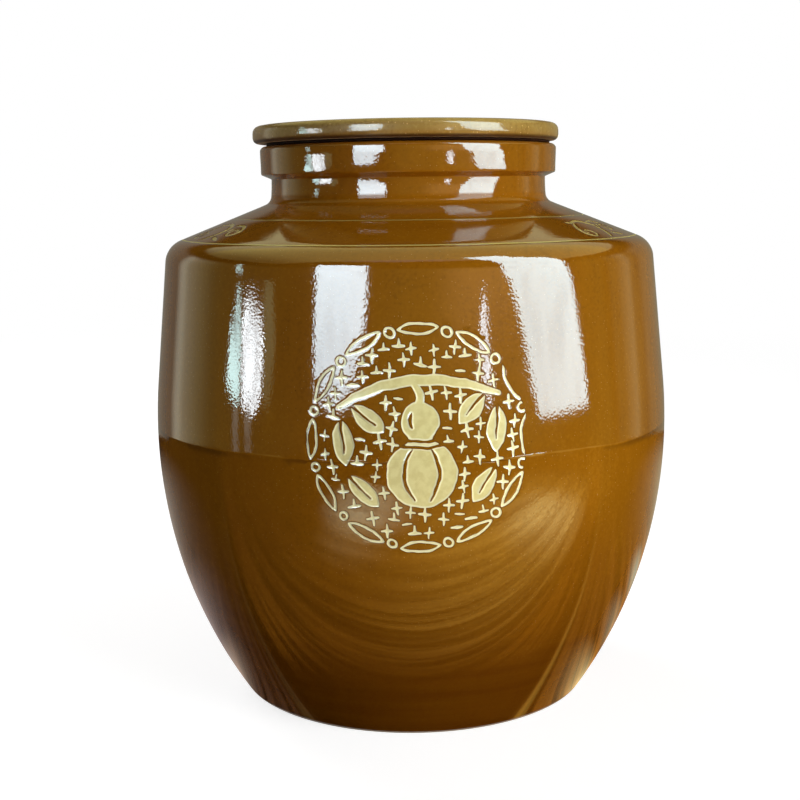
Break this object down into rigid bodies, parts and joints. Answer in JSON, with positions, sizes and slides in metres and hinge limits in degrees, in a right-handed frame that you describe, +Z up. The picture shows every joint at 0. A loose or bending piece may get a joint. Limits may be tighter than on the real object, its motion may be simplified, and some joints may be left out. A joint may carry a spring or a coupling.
{
  "type": "lidded ceramic wine jar",
  "caption": "Glazed stoneware jar with a sloping shoulder, short neck and banded collar, and a flat lift-off lid with a soft sealing ring.",
  "frame": {"origin": "centre of the foot, on the surface that the jar stands on", "axes": "+Z up along the jar's axis of revolution; the front, which the picture shows, faces -Y, and +X is to the viewer's right"},
  "size_m": [0.2809, 0.2808, 0.3083],
  "materials": {
    "amber_glaze": "glossy amber brown glaze with fine pale specks",
    "lid_glaze": "satin olive brown glaze with fine pale specks",
    "soft_seal": "matt dark silicone"
  },
  "bodies": {
    "jar": {"jar_body": "amber_glaze"},
    "cover": {"lid": "lid_glaze", "seal_ring": "soft_seal"}
  },
  "joints": [
    {"name": "lid_lift", "type": "slide", "parent": "jar", "child": "cover", "axis": [0, 0, 1], "range_m": [0, 0.1]}
  ]
}
